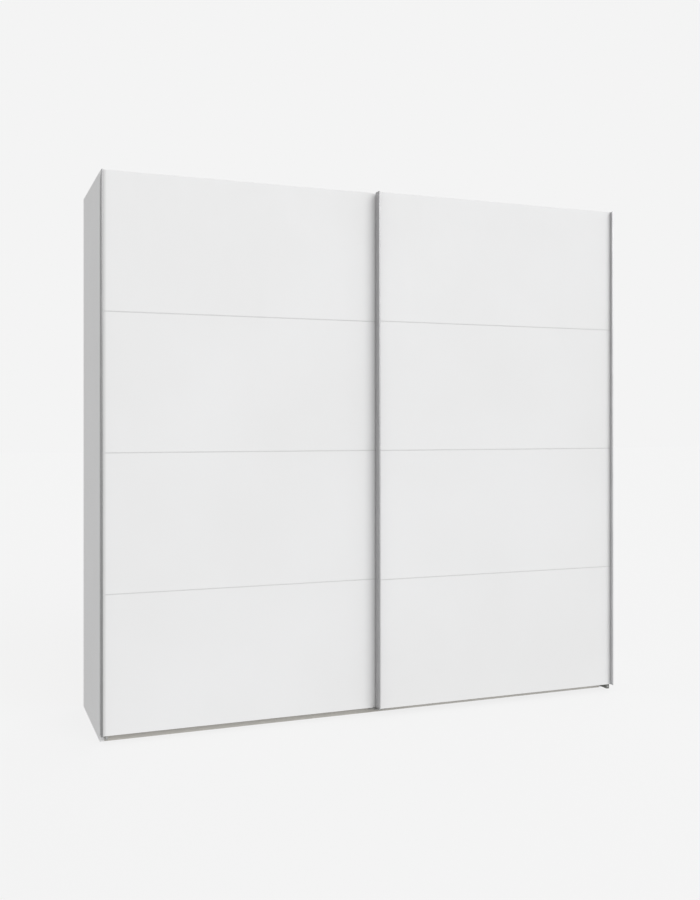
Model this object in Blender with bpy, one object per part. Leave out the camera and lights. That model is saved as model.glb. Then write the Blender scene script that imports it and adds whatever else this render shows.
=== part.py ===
"""Two-door hanging sliding wardrobe.

Each door hangs from rollers on a double track on top of the case and is steered at its foot by fins
that run in a groove. The left door runs in the rear plane, the right door in the front plane.
Metres, +Z up. The origin is on the floor under the middle of the whole object, and the front faces -Y.
"""

from math import cos, pi, sin

import bmesh
import bpy
from mathutils import Vector

MM = 0.001

# Overall sizes
WIDTH = 2180 * MM
HEIGHT = 2096 * MM
CASE_DEPTH = 506 * MM

# Case
BOARD = 16 * MM
BACK_SHEET = 3 * MM
BACK_INSET = 1.5 * MM
BACK_FLOOR_GAP = 8 * MM
BACK_STRIP_WIDTH = 18 * MM
BACK_STRIP_WALL = 1 * MM
PLINTH_HEIGHT = 50 * MM
SHELF_BELOW_TOP = 300 * MM
SHELF_SETBACK = 20 * MM
RAIL_BELOW_SHELF = 60 * MM
RAIL_HEIGHT = 30 * MM
RAIL_WIDTH = 15 * MM
RAIL_WALL = 1.2 * MM
RAIL_STEPS = 8
RAIL_BEARER_LENGTH = 12 * MM
RAIL_BEARER_FLOOR = 3 * MM
RAIL_BEARER_RIM = 5 * MM

# Doors
DOOR_THICKNESS = 16 * MM
DOOR_OVERLAP = 30 * MM
DOOR_BOTTOM = 29 * MM
DOOR_BELOW_SIDES = 2 * MM
REAR_DOOR_GAP = 22 * MM
PANELS_PER_DOOR = 4
PANEL_JOINT = 3 * MM
JOINT_FIT = 0.2 * MM
JOINT_FLANGE = 24 * MM
FRONT_GRIP_STAND = 20 * MM
REAR_GRIP_STAND = 8 * MM
EDGE_STAND = 1.8 * MM
PROFILE_WALL = 2 * MM
PROFILE_FACE = 5 * MM
PROFILE_LIP = 3 * MM
HOLLOW_FROM_STAND = 9 * MM
PROFILE_BACK_FLANGE = 14 * MM
PROFILE_BACK_WALL = 1.5 * MM
STOP_SHORT = 15 * MM

# Foot guides
GROOVE_WIDTH = 6 * MM
GROOVE_DEPTH = 10 * MM
FIN_THICKNESS = 4 * MM
FIN_HEIGHT = 8 * MM
FIN_LENGTH = 25 * MM
GUIDE_BELOW_DOOR = 1.5 * MM
GUIDE_BACKPLATE = 3.5 * MM
GUIDE_TONGUE = 3 * MM
FIN_MARGIN = 8 * MM
GUIDE_FLOOR = 12.5 * MM
LEFT_GUIDE_WIDTH = 8 * MM
RIGHT_GUIDE_WIDTH = 13 * MM
RIGHT_GUIDE_FLOOR = 9 * MM
RIGHT_GUIDE_INSET = 5 * MM

# Rollers, carriages and top track
ROLLER_RADIUS = 16 * MM
ROLLER_WIDTH = 10 * MM
ROLLER_GROOVE = 3 * MM
ROLLER_GROOVE_WIDTH = 4.6 * MM
ROLLER_GROOVE_FLARE = 0.75 * MM
ROLLER_STEPS = 24
AXLE_RADIUS = 4 * MM
AXLE_PLAY = 0.1 * MM
AXLE_TIP = 1.5 * MM
ROLLER_SPACING = 70 * MM
BRACKET = 2.5 * MM
BRACKET_END = 7 * MM
BRACKET_LEG = 60 * MM
BRACKET_FOOT = 9 * MM
FRONT_ARM = 2.5 * MM
CARRIAGE_INSET = 140 * MM
PASSING_GAP = 2.2 * MM
ARM_CLEARANCE = 2 * MM
CARRIAGES_APART = 20 * MM
REAR_ARM_DROP = 4 * MM
ROLLER_TOP_GAP = 2.7 * MM
TRACK_BASE = 3 * MM
TRACK_RIB = 3 * MM
TRACK_RIB_HEIGHT = 12 * MM
TRACK_MARGIN = 8 * MM
NEAR_RIB_BEHIND = 18.5 * MM
STOP_LENGTH = 22 * MM
STOP_ABOVE_AXLE = 6.5 * MM
STOP_PLAY = 0.5 * MM

FIT = 0.3 * MM
SMOOTH_ANGLE = pi / 6

# Values worked out from the driving sizes
DOORS_APART = REAR_GRIP_STAND + PASSING_GAP + BRACKET + FIT
REAR_DOOR_BACK = REAR_DOOR_GAP
FRONT_DOOR_BACK = REAR_DOOR_GAP + DOOR_THICKNESS + DOORS_APART
FRONT_REACH = FRONT_DOOR_BACK + DOOR_THICKNESS + FRONT_GRIP_STAND
CASE_FRONT_Y = FRONT_REACH - (CASE_DEPTH + FRONT_REACH) / 2
CASE_BACK_Y = CASE_FRONT_Y + CASE_DEPTH
BACK_SHEET_Y = CASE_BACK_Y - BACK_INSET - BACK_SHEET
INNER_BACK_Y = BACK_SHEET_Y - FIT
SIDE_X = WIDTH / 2
INNER_X = SIDE_X - BOARD
DOOR_TOP = HEIGHT - FRONT_ARM - ARM_CLEARANCE
SIDE_TOP = DOOR_TOP + DOOR_BELOW_SIDES
DOOR_WIDTH = (WIDTH + DOOR_OVERLAP) / 2
REAR_ARM_TOP = DOOR_TOP - REAR_ARM_DROP
AXLE_Z = REAR_ARM_TOP - BRACKET - ROLLER_TOP_GAP - ROLLER_RADIUS
TREAD_RADIUS = ROLLER_RADIUS - ROLLER_GROOVE
RIB_TOP = AXLE_Z - TREAD_RADIUS - FIT
TRACK_TOP = RIB_TOP - TRACK_RIB_HEIGHT
TRACK_BOTTOM = TRACK_TOP - TRACK_BASE
TOP_PANEL_TOP = TRACK_BOTTOM - FIT
TOP_PANEL_BOTTOM = TOP_PANEL_TOP - BOARD
BOTTOM_PANEL_BOTTOM = PLINTH_HEIGHT + FIT
BOTTOM_PANEL_TOP = BOTTOM_PANEL_BOTTOM + BOARD
SHELF_TOP = TOP_PANEL_BOTTOM - SHELF_BELOW_TOP
RAIL_Z = SHELF_TOP - BOARD - RAIL_BELOW_SHELF
NEAR_LEG_BEHIND = NEAR_RIB_BEHIND - ROLLER_WIDTH / 2 - FIT - BRACKET
FAR_LEG_BEHIND = NEAR_RIB_BEHIND + ROLLER_WIDTH / 2 + AXLE_TIP + CARRIAGES_APART
FAR_RIB_BEHIND = FAR_LEG_BEHIND + BRACKET + FIT + ROLLER_WIDTH / 2
BRACKET_LENGTH = ROLLER_SPACING + 2 * (ROLLER_RADIUS + BRACKET_END)
STOP_X = SIDE_X - CARRIAGE_INSET + BRACKET_LENGTH / 2 + STOP_PLAY

# Finishes: colour, roughness, metallic
WHITE_BOARD = ((0.83, 0.83, 0.83), 0.45, 0.0)
WHITE_BACK = ((0.74, 0.74, 0.73), 0.6, 0.0)
SATIN_ALUMINIUM = ((0.50, 0.50, 0.50), 0.38, 0.9)
WARM_GREY_FOIL = ((0.52, 0.505, 0.47), 0.5, 0.0)
ZINC_STEEL = ((0.62, 0.63, 0.65), 0.35, 1.0)
CHROME_TUBE = ((0.80, 0.80, 0.82), 0.15, 1.0)
DARK_PLASTIC = ((0.12, 0.12, 0.11), 0.5, 0.0)
ROLLER_PLASTIC = ((0.80, 0.80, 0.77), 0.4, 0.0)


def ahead(distance):
    """Y of a plane in front of the case's front edges."""
    return CASE_FRONT_Y - distance


def behind(distance):
    """Y of a plane behind the case's front edges."""
    return CASE_FRONT_Y + distance


def clear_scene():
    for obj in list(bpy.data.objects):
        bpy.data.objects.remove(obj, do_unlink=True)


def empty(name, place, parent=None):
    holder = bpy.data.objects.new(name, None)
    holder.empty_display_size = 0.1
    bpy.context.scene.collection.objects.link(holder)
    seat(holder, place, parent)
    return holder


def seat(obj, place, parent):
    """Puts an object at a place in the room, measured from its parent when it has one."""
    home = Vector((0, 0, 0))
    holder = parent
    while holder is not None:
        home += holder.location
        holder = holder.parent
    obj.parent = parent
    obj.location = Vector(place) - home


def finish(obj, look):
    colour, roughness, metallic = look
    material = bpy.data.materials.new(obj.name)
    material.use_nodes = True
    shader = material.node_tree.nodes["Principled BSDF"]
    shader.inputs["Base Color"].default_value = (*colour, 1)
    shader.inputs["Roughness"].default_value = roughness
    shader.inputs["Metallic"].default_value = metallic
    material.diffuse_color = (*colour, 1)
    obj.data.materials.append(material)


def solid(name, mesh, place, parent, look=None):
    obj = bpy.data.objects.new(name, mesh)
    bpy.context.scene.collection.objects.link(obj)
    seat(obj, place, parent)
    if look:
        finish(obj, look)
    return obj


def mesh_of(shape, name):
    bmesh.ops.recalc_face_normals(shape, faces=shape.faces)
    mesh = bpy.data.meshes.new(name)
    shape.to_mesh(mesh)
    shape.free()
    return mesh


def board(name, low, high, parent, look=None):
    """A plain rectangular piece between two corners, with its origin in its middle."""
    low, high = Vector(low), Vector(high)
    shape = bmesh.new()
    bmesh.ops.create_cube(shape, size=1)
    bmesh.ops.scale(shape, vec=high - low, verts=shape.verts)
    return solid(name, mesh_of(shape, name), (low + high) / 2, parent, look)


def extrusion(name, outline, along, start, end, parent, look=None):
    """A profile swept along one axis; the outline gives the other two coordinates in X, Y, Z order."""
    axis = "XYZ".index(along)
    corners = []
    for first, second in outline:
        corner = [first, second]
        corner.insert(axis, start)
        corners.append(Vector(corner))
    place = sum(corners, Vector()) / len(corners)
    place[axis] = (start + end) / 2
    shape = bmesh.new()
    face = shape.faces.new([shape.verts.new(corner - place) for corner in corners])
    grown = bmesh.ops.extrude_face_region(shape, geom=[face])["geom"]
    step = Vector((0, 0, 0))
    step[axis] = end - start
    moved = [item for item in grown if isinstance(item, bmesh.types.BMVert)]
    bmesh.ops.translate(shape, vec=step, verts=moved)
    return solid(name, mesh_of(shape, name), place, parent, look)


def helper(obj):
    obj.hide_render = True
    obj.display_type = "WIRE"
    return obj


def combine(obj, tool, operation):
    change = obj.modifiers.new(f"{operation.lower()} {tool.name}", "BOOLEAN")
    change.operation = operation
    change.object = helper(tool)


def cylinder_y(name, radius, start, end, x, z, parent):
    points = [(x + radius * cos(2 * pi * i / ROLLER_STEPS), z + radius * sin(2 * pi * i / ROLLER_STEPS))
              for i in range(ROLLER_STEPS)]
    return extrusion(name, points, "Y", start, end, parent)


def stadium(width, height):
    """The outline of an upright oval tube: straight sides and round ends, centred on zero."""
    radius = width / 2
    lift = height / 2 - radius
    points = []
    for i in range(2 * RAIL_STEPS + 2):
        upper = i <= RAIL_STEPS
        angle = pi * (i if upper else i - 1) / RAIL_STEPS
        points.append((radius * cos(angle), radius * sin(angle) + (lift if upper else -lift)))
    return points


# The case

def side_panels(case):
    for side, name in ((-1, "left"), (1, "right")):
        outer, inner = sorted((side * SIDE_X, side * INNER_X))
        low, high = (outer, CASE_FRONT_Y, 0), (inner, CASE_BACK_Y, SIDE_TOP)
        board(f"side_panel_{name}", low, high, case, WHITE_BOARD)


def centre_partition(case):
    """Stands on the floor and is notched round both plinth boards."""
    notch = BOARD + FIT
    step = PLINTH_HEIGHT + FIT
    front, back = CASE_FRONT_Y, INNER_BACK_Y
    outline = [(front + notch, 0), (back - notch, 0), (back - notch, step), (back, step),
               (back, TOP_PANEL_TOP), (front, TOP_PANEL_TOP), (front, step), (front + notch, step)]
    extrusion("centre_partition", outline, "X", -BOARD / 2, BOARD / 2, case, WHITE_BOARD)


def compartments():
    """Left and right spaces between a side panel and the partition, as (name, low X, high X)."""
    near, far = BOARD / 2 + FIT, INNER_X - FIT
    return (("left", -far, -near), ("right", near, far))


def level_panels(case):
    for name, low, high in compartments():
        for level, bottom, top, setback in (
            ("top_panel", TOP_PANEL_BOTTOM, TOP_PANEL_TOP, 0),
            ("bottom_panel", BOTTOM_PANEL_BOTTOM, BOTTOM_PANEL_TOP, 0),
            ("hat_shelf", SHELF_TOP - BOARD, SHELF_TOP, SHELF_SETBACK),
        ):
            board(f"{level}_{name}", (low, CASE_FRONT_Y + setback, bottom), (high, INNER_BACK_Y, top),
                  case, WHITE_BOARD)


def plinths(case):
    edge = INNER_X - FIT
    for name, y in (("front", CASE_FRONT_Y), ("rear", INNER_BACK_Y - BOARD)):
        look = WARM_GREY_FOIL if name == "front" else WHITE_BOARD
        board(f"plinth_{name}", (-edge, y, 0), (edge, y + BOARD, PLINTH_HEIGHT), case, look)


def back_sheets(case):
    """Two thin sheets behind each compartment, joined by an H-shaped plastic strip."""
    seam = BACK_STRIP_WALL / 2 + FIT
    for name, low, high in compartments():
        middle = (low + high) / 2
        outer, inner = ("outer", "inner") if name == "left" else ("inner", "outer")
        for part, start, end in ((outer, low, middle - seam), (inner, middle + seam, high)):
            board(f"back_sheet_{name}_{part}", (start, BACK_SHEET_Y, BACK_FLOOR_GAP),
                  (end, BACK_SHEET_Y + BACK_SHEET, TOP_PANEL_TOP), case, WHITE_BACK)
        back_joint_strip(name, middle, case)


def back_joint_strip(name, middle, case):
    half, web = BACK_STRIP_WIDTH / 2, BACK_STRIP_WALL / 2
    front_in, front_out = BACK_SHEET_Y - FIT, BACK_SHEET_Y - FIT - BACK_STRIP_WALL
    rear_in = BACK_SHEET_Y + BACK_SHEET + FIT
    rear_out = rear_in + BACK_STRIP_WALL
    right_side = [(half, front_out), (half, front_in), (web, front_in), (web, rear_in), (half, rear_in),
                  (half, rear_out)]
    outline = [(middle + x, y) for x, y in right_side]
    outline += [(middle - x, y) for x, y in reversed(right_side)]
    low = BOTTOM_PANEL_TOP + FIT
    strip = extrusion(f"back_joint_strip_{name}", outline, "Z", low, TOP_PANEL_BOTTOM - FIT, case, WHITE_BACK)
    shelf_slot = board(f"shelf_slot_{name}",
                       (middle - BACK_STRIP_WIDTH, front_out - BACK_SHEET, SHELF_TOP - BOARD - FIT),
                       (middle + BACK_STRIP_WIDTH, BACK_SHEET_Y, SHELF_TOP + FIT), case)
    combine(strip, shelf_slot, "DIFFERENCE")


def clothes_rails(case):
    rail_y = (CASE_FRONT_Y + INNER_BACK_Y) / 2
    outer = stadium(RAIL_WIDTH, RAIL_HEIGHT)
    inner = stadium(RAIL_WIDTH - 2 * RAIL_WALL, RAIL_HEIGHT - 2 * RAIL_WALL)
    pocket = stadium(RAIL_WIDTH + 2 * FIT, RAIL_HEIGHT + 2 * FIT)
    for name, low, high in compartments():
        start, end = low + RAIL_BEARER_FLOOR + FIT, high - RAIL_BEARER_FLOOR - FIT
        rail = extrusion(f"clothes_rail_{name}", [(rail_y + y, RAIL_Z + z) for y, z in outer], "X",
                         start, end, case, CHROME_TUBE)
        bore = extrusion(f"rail_bore_{name}", [(rail_y + y, RAIL_Z + z) for y, z in inner], "X",
                         start - FIT, end + FIT, case)
        combine(rail, bore, "DIFFERENCE")
        for part, wall, towards in (("left", low, 1), ("right", high, -1)):
            rail_bearer(f"rail_bearer_{name}_{part}", wall, towards, rail_y, pocket, case)


def rail_bearer(name, wall, towards, rail_y, pocket, case):
    """A cup screwed to a wall, open at the top so that the rail drops in."""
    side = RAIL_WIDTH / 2 + FIT + RAIL_BEARER_RIM
    low = RAIL_Z - RAIL_HEIGHT / 2 - FIT - RAIL_BEARER_RIM
    high = RAIL_Z + RAIL_HEIGHT / 2
    start, end = sorted((wall, wall + towards * RAIL_BEARER_LENGTH))
    cup = board(name, (start, rail_y - side, low), (end, rail_y + side, high), case, ZINC_STEEL)
    floor = wall + towards * RAIL_BEARER_FLOOR
    mouth = wall + towards * (RAIL_BEARER_LENGTH + RAIL_BEARER_RIM)
    pocket_start, pocket_end = sorted((floor, mouth))
    slot_outline = [(rail_y + y, RAIL_Z + z + (RAIL_BEARER_RIM if z > 0 else 0)) for y, z in pocket]
    combine(cup, extrusion(f"{name}_pocket", slot_outline, "X", pocket_start, pocket_end, case), "DIFFERENCE")


# The top track and the foot guides

def top_track(case):
    """One aluminium extrusion: a base with two upright running ribs."""
    edge = INNER_X - FIT
    half = TRACK_RIB / 2
    near, far = behind(NEAR_RIB_BEHIND), behind(FAR_RIB_BEHIND)
    front, back = behind(NEAR_RIB_BEHIND - TRACK_MARGIN), behind(FAR_RIB_BEHIND + TRACK_MARGIN)
    outline = [(front, TRACK_BOTTOM), (back, TRACK_BOTTOM), (back, TRACK_TOP)]
    for rib in (far, near):
        rise = [(rib + half, TRACK_TOP), (rib + half, RIB_TOP)]
        outline += rise + [(rib - half, RIB_TOP), (rib - half, TRACK_TOP)]
    outline.append((front, TRACK_TOP))
    extrusion("top_track", outline, "X", -edge, edge, case, SATIN_ALUMINIUM)


def track_ends(case):
    """A plastic stop over both ribs at each end, which the outer carriages meet."""
    front, back = behind(NEAR_RIB_BEHIND - TRACK_MARGIN), behind(FAR_RIB_BEHIND + TRACK_MARGIN)
    bottom, top = TRACK_TOP + FIT, AXLE_Z + STOP_ABOVE_AXLE
    for side, name in ((-1, "left"), (1, "right")):
        start, end = sorted((side * STOP_X, side * (STOP_X + STOP_LENGTH)))
        stop = board(f"track_stop_{name}", (start, front, bottom), (end, back, top), case, DARK_PLASTIC)
        for place, rib in (("near", NEAR_RIB_BEHIND), ("far", FAR_RIB_BEHIND)):
            reach = TRACK_RIB / 2 + FIT
            slot = board(f"stop_slot_{name}_{place}", (start - FIT, behind(rib) - reach, TRACK_TOP),
                         (end + FIT, behind(rib) + reach, RIB_TOP + FIT), case)
            combine(stop, slot, "DIFFERENCE")


def groove_ahead(door_back):
    return door_back + DOOR_THICKNESS / 2


def guide_outline(tip_ahead, floor, tongue, fin_ahead):
    """Side view of a foot guide: a plate on the case, a tongue under the doors and a fin up into a groove."""
    top = DOOR_BOTTOM - GUIDE_BELOW_DOOR
    fin_top = DOOR_BOTTOM + FIN_HEIGHT
    fin_back, fin_front = ahead(fin_ahead - FIN_THICKNESS / 2), ahead(fin_ahead + FIN_THICKNESS / 2)
    return [(ahead(FIT), floor), (ahead(FIT), top), (fin_back, top), (fin_back, fin_top),
            (fin_front, fin_top), (fin_front, top), (ahead(tip_ahead), top), (ahead(tip_ahead), top - tongue),
            (ahead(GUIDE_BACKPLATE), top - tongue), (ahead(GUIDE_BACKPLATE), floor)]


def end_guides(case):
    """One deep guide by each side panel, which takes its door's outer end when the door is shut."""
    top = DOOR_BOTTOM - GUIDE_BELOW_DOOR
    left_start = -INNER_X + FIT
    right_end = SIDE_X - RIGHT_GUIDE_INSET
    for name, back, floor, start, end in (
        ("left", REAR_DOOR_BACK, GUIDE_FLOOR, left_start, left_start + LEFT_GUIDE_WIDTH),
        ("right", FRONT_DOOR_BACK, RIGHT_GUIDE_FLOOR, right_end - RIGHT_GUIDE_WIDTH, right_end),
    ):
        groove = groove_ahead(back)
        outline = guide_outline(groove + FIN_THICKNESS, floor, top - floor - FIT, groove)
        extrusion(f"foot_guide_{name}", outline, "X", start, end, case, DARK_PLASTIC)


def centre_guide(case):
    """A thin tongue under the doors' overlap, with one fin for each door."""
    rear_groove, front_groove = groove_ahead(REAR_DOOR_BACK), groove_ahead(FRONT_DOOR_BACK)
    top = DOOR_BOTTOM - GUIDE_BELOW_DOOR
    under = top - GUIDE_TONGUE
    tip, plate = ahead(front_groove + FIN_THICKNESS), ahead(GUIDE_BACKPLATE)
    half = FIN_LENGTH - DOOR_OVERLAP / 2 + 2 * FIN_MARGIN
    outline = [(ahead(FIT), GUIDE_FLOOR), (ahead(FIT), top), (tip, top), (tip, under), (plate, under),
               (plate, GUIDE_FLOOR)]
    guide = extrusion("foot_guide_centre", outline, "X", -half, half, case, DARK_PLASTIC)
    rear_end = DOOR_OVERLAP / 2 - PROFILE_WALL - FIN_MARGIN
    for name, groove, start, end in (("rear", rear_groove, rear_end - FIN_LENGTH, rear_end),
                                     ("front", front_groove, -rear_end, FIN_LENGTH - rear_end)):
        fin = board(f"centre_fin_{name}", (start, ahead(groove + FIN_THICKNESS / 2), top - GUIDE_TONGUE / 2),
                    (end, ahead(groove - FIN_THICKNESS / 2), DOOR_BOTTOM + FIN_HEIGHT), case)
        combine(guide, fin, "UNION")


# The doors

def profile_outline(edge_x, inward, back, stand):
    """Plan view of a profile that wraps a door's edge. One that stands out far is hollowed as a grip."""
    flange_out, flange_in = back - FIT - PROFILE_BACK_WALL, back - FIT
    face = back + DOOR_THICKNESS + FIT
    tip = back + DOOR_THICKNESS + stand
    points = [(0, flange_out), (PROFILE_BACK_FLANGE, flange_out), (PROFILE_BACK_FLANGE, flange_in),
              (PROFILE_WALL, flange_in), (PROFILE_WALL, face), (PROFILE_FACE, face)]
    if stand > HOLLOW_FROM_STAND:
        points += [(PROFILE_FACE, face + PROFILE_LIP), (PROFILE_WALL, face + PROFILE_LIP),
                   (PROFILE_WALL, tip - PROFILE_LIP), (PROFILE_FACE, tip - PROFILE_LIP)]
    points += [(PROFILE_FACE, tip), (0, tip)]
    return [(edge_x + inward * x, ahead(distance)) for x, distance in points]


def door_profiles(name, door, left, right, back, left_stand, right_stand):
    made = []
    for side, edge_x, inward, stand in (("left", left, 1, left_stand), ("right", right, -1, right_stand)):
        outline = profile_outline(edge_x, inward, back, stand)
        span = DOOR_BOTTOM, DOOR_TOP
        made.append(extrusion(f"{name}_profile_{side}", outline, "Z", *span, door, SATIN_ALUMINIUM))
    return made


def fin_notch(profile, x, back, door):
    """Opens the foot of a profile so that an end guide's fin can leave the groove."""
    centre = groove_ahead(back)
    reach = GROOVE_WIDTH / 2
    notch = board(f"{profile.name}_notch", (x - PROFILE_WALL - FIT, ahead(centre + reach), 0),
                  (x + PROFILE_WALL + FIT, ahead(centre - reach), DOOR_BOTTOM + GROOVE_DEPTH), door)
    combine(profile, notch, "DIFFERENCE")


def door_panels(name, door, left, right, back):
    low_x, high_x = left + PROFILE_WALL + FIT, right - PROFILE_WALL - FIT
    front_y, back_y = ahead(back + DOOR_THICKNESS), ahead(back)
    panel = (DOOR_TOP - DOOR_BOTTOM - (PANELS_PER_DOOR - 1) * PANEL_JOINT) / PANELS_PER_DOOR
    for i in range(PANELS_PER_DOOR):
        low = DOOR_BOTTOM + i * (panel + PANEL_JOINT)
        high = low + panel
        if i == 0:
            grooved_panel(f"{name}_panel_1", door, low_x, high_x, back, low, high)
        else:
            corners = (low_x, front_y, low), (high_x, back_y, high)
            board(f"{name}_panel_{i + 1}", *corners, door, WHITE_BOARD)
            joint_strip(f"{name}_joint_strip_{i}", door, left, right, back, low - PANEL_JOINT / 2)


def grooved_panel(name, door, low_x, high_x, back, low, high):
    """The lowest panel, with the guide groove along its underside."""
    front_y, back_y = ahead(back + DOOR_THICKNESS), ahead(back)
    groove_front = ahead(groove_ahead(back) + GROOVE_WIDTH / 2)
    groove_back = ahead(groove_ahead(back) - GROOVE_WIDTH / 2)
    roof = low + GROOVE_DEPTH
    outline = [(front_y, low), (groove_front, low), (groove_front, roof), (groove_back, roof),
               (groove_back, low), (back_y, low), (back_y, high), (front_y, high)]
    extrusion(name, outline, "X", low_x, high_x, door, WHITE_BOARD)


def joint_strip(name, door, left, right, back, z):
    """A T-shaped strip between two panels: a web flush with the door's face and a flange on its back."""
    web, flange = PANEL_JOINT / 2 - JOINT_FIT, JOINT_FLANGE / 2
    face, flange_in = ahead(back + DOOR_THICKNESS), ahead(back - FIT)
    flange_out = ahead(back - FIT - PROFILE_BACK_WALL)
    outline = [(face, z - web), (flange_in, z - web), (flange_in, z - flange), (flange_out, z - flange),
               (flange_out, z + flange), (flange_in, z + flange), (flange_in, z + web), (face, z + web)]
    end = PROFILE_BACK_FLANGE + FIT
    extrusion(name, outline, "X", left + end, right - end, door, WHITE_BOARD)


def carriage(name, door, x, back, arm_top, arm, leg_behind):
    """A bent steel bracket from a door's back to a leg beside the track, with two riveted axle stubs."""
    door_leg_in, door_leg_out = ahead(back - FIT), ahead(back - FIT - BRACKET)
    leg_front, leg_back = behind(leg_behind), behind(leg_behind + BRACKET)
    top, under = arm_top, arm_top - arm
    bend = BRACKET
    door_leg_foot, leg_foot = top - bend - BRACKET_LEG, AXLE_Z - BRACKET_FOOT
    outline = [(door_leg_in, top - bend), (door_leg_in, door_leg_foot), (door_leg_out, door_leg_foot),
               (door_leg_out, under), (leg_front, under), (leg_front, leg_foot), (leg_back, leg_foot),
               (leg_back, top - bend / 2), (leg_back - bend / 2, top), (door_leg_in + bend, top)]
    half = BRACKET_LENGTH / 2
    bracket = extrusion(f"{name}_bracket", outline, "X", x - half, x + half, door, ZINC_STEEL)
    stub_start, stub_end = leg_front + BRACKET / 2, leg_back + FIT + ROLLER_WIDTH + AXLE_TIP
    for side, part in ((-1, "a"), (1, "b")):
        axle_x = x + side * ROLLER_SPACING / 2
        stub = cylinder_y(f"{name}_axle_{part}", AXLE_RADIUS, stub_start, stub_end, axle_x, AXLE_Z, door)
        combine(bracket, stub, "UNION")
        roller(f"{name}_roller_{part}", axle_x, leg_back + FIT, door)


def roller(name, x, front_y, door):
    """A grooved plastic wheel turned about its axle; its tread rolls on a rib of the track."""
    half, cut = ROLLER_WIDTH / 2, ROLLER_GROOVE_WIDTH / 2
    bore = AXLE_RADIUS + AXLE_PLAY
    section = [(bore, -half), (ROLLER_RADIUS, -half), (ROLLER_RADIUS, -cut - ROLLER_GROOVE_FLARE),
               (TREAD_RADIUS, -cut), (TREAD_RADIUS, cut), (ROLLER_RADIUS, cut + ROLLER_GROOVE_FLARE),
               (ROLLER_RADIUS, half), (bore, half)]
    shape = bmesh.new()
    ring = [shape.verts.new((radius, y, 0)) for radius, y in section]
    edges = [shape.edges.new((ring[i], ring[(i + 1) % len(ring)])) for i in range(len(ring))]
    bmesh.ops.spin(shape, geom=ring + edges, cent=(0, 0, 0), axis=(0, 1, 0), angle=2 * pi,
                   steps=ROLLER_STEPS, use_merge=True)
    wheel = solid(name, mesh_of(shape, name), (x, front_y + half, AXLE_Z), door, ROLLER_PLASTIC)
    wheel.data.shade_smooth()
    wheel.data.set_sharp_from_angle(angle=SMOOTH_ANGLE)


def left_door():
    left, right = -SIDE_X, -SIDE_X + DOOR_WIDTH
    back = REAR_DOOR_BACK
    door = empty("left_door", ((left + right) / 2, ahead(back), (DOOR_BOTTOM + DOOR_TOP) / 2))
    door_panels("left_door", door, left, right, back)
    grip, _ = door_profiles("left_door", door, left, right, back, REAR_GRIP_STAND, EDGE_STAND)
    fin_notch(grip, left, back, door)
    for part, x in (("left", left + CARRIAGE_INSET), ("right", right - CARRIAGE_INSET + STOP_SHORT)):
        carriage(f"left_door_{part}", door, x, back, REAR_ARM_TOP, BRACKET, NEAR_LEG_BEHIND)


def right_door():
    left, right = SIDE_X - DOOR_WIDTH, SIDE_X
    back = FRONT_DOOR_BACK
    door = empty("right_door", ((left + right) / 2, ahead(back), (DOOR_BOTTOM + DOOR_TOP) / 2))
    door_panels("right_door", door, left, right, back)
    _, grip = door_profiles("right_door", door, left, right, back, FRONT_GRIP_STAND, FRONT_GRIP_STAND)
    fin_notch(grip, right, back, door)
    for part, x in (("left", left + CARRIAGE_INSET - STOP_SHORT), ("right", right - CARRIAGE_INSET)):
        carriage(f"right_door_{part}", door, x, back, HEIGHT, FRONT_ARM, FAR_LEG_BEHIND)


def main():
    clear_scene()
    case = empty("case", (0, 0, 0))
    side_panels(case)
    centre_partition(case)
    level_panels(case)
    plinths(case)
    back_sheets(case)
    clothes_rails(case)
    top_track(case)
    track_ends(case)
    end_guides(case)
    centre_guide(case)
    left_door()
    right_door()


main()
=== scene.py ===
import math

import bmesh
import bpy
from mathutils import Matrix, Vector


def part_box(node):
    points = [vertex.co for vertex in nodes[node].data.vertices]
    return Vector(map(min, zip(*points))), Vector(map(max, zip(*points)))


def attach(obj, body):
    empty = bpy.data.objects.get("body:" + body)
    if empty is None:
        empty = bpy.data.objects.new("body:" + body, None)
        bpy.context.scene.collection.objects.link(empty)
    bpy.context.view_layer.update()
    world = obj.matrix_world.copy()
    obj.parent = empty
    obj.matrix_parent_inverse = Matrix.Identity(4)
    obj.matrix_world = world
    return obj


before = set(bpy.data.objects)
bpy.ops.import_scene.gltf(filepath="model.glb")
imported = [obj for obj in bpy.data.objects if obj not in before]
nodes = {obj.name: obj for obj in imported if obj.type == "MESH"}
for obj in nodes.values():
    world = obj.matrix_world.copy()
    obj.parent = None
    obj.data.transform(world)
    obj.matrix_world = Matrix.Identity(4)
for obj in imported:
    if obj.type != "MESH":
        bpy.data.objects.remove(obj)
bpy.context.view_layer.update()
mm = 0.001
doors = ("left_door", "right_door")
compartments = ("left", "right")
print(f"frame loaded: {len(nodes)} nodes")


# Node helpers

def feed(tree, socket, value):
    if isinstance(value, bpy.types.NodeSocket):
        tree.links.new(value, socket)
    else:
        socket.default_value = value


def tool(tree, kind, plugs=None, **settings):
    made = tree.nodes.new("ShaderNode" + kind)
    for name, value in settings.items():
        setattr(made, name, value)
    for plug, value in (plugs or {}).items():
        feed(tree, made.inputs[plug], value)
    return made


def newFinish(name, look):
    made = bpy.data.materials.new(name)
    made.use_nodes = True
    shader = made.node_tree.nodes["Principled BSDF"]
    for plug, value in look.items():
        shader.inputs[plug].default_value = value
    return made, made.node_tree, shader


def place(tree, stretch=(1, 1, 1), source="Object"):
    where = tool(tree, "TexCoord").outputs[source]
    return tool(tree, "Mapping", {"Vector": where, "Scale": stretch}).outputs[0]


def noise(tree, where, scale, detail=2.0, roughness=0.5):
    return tool(tree, "TexNoise", {"Vector": where, "Scale": scale, "Detail": detail,
                                   "Roughness": roughness}).outputs[0]


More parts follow.
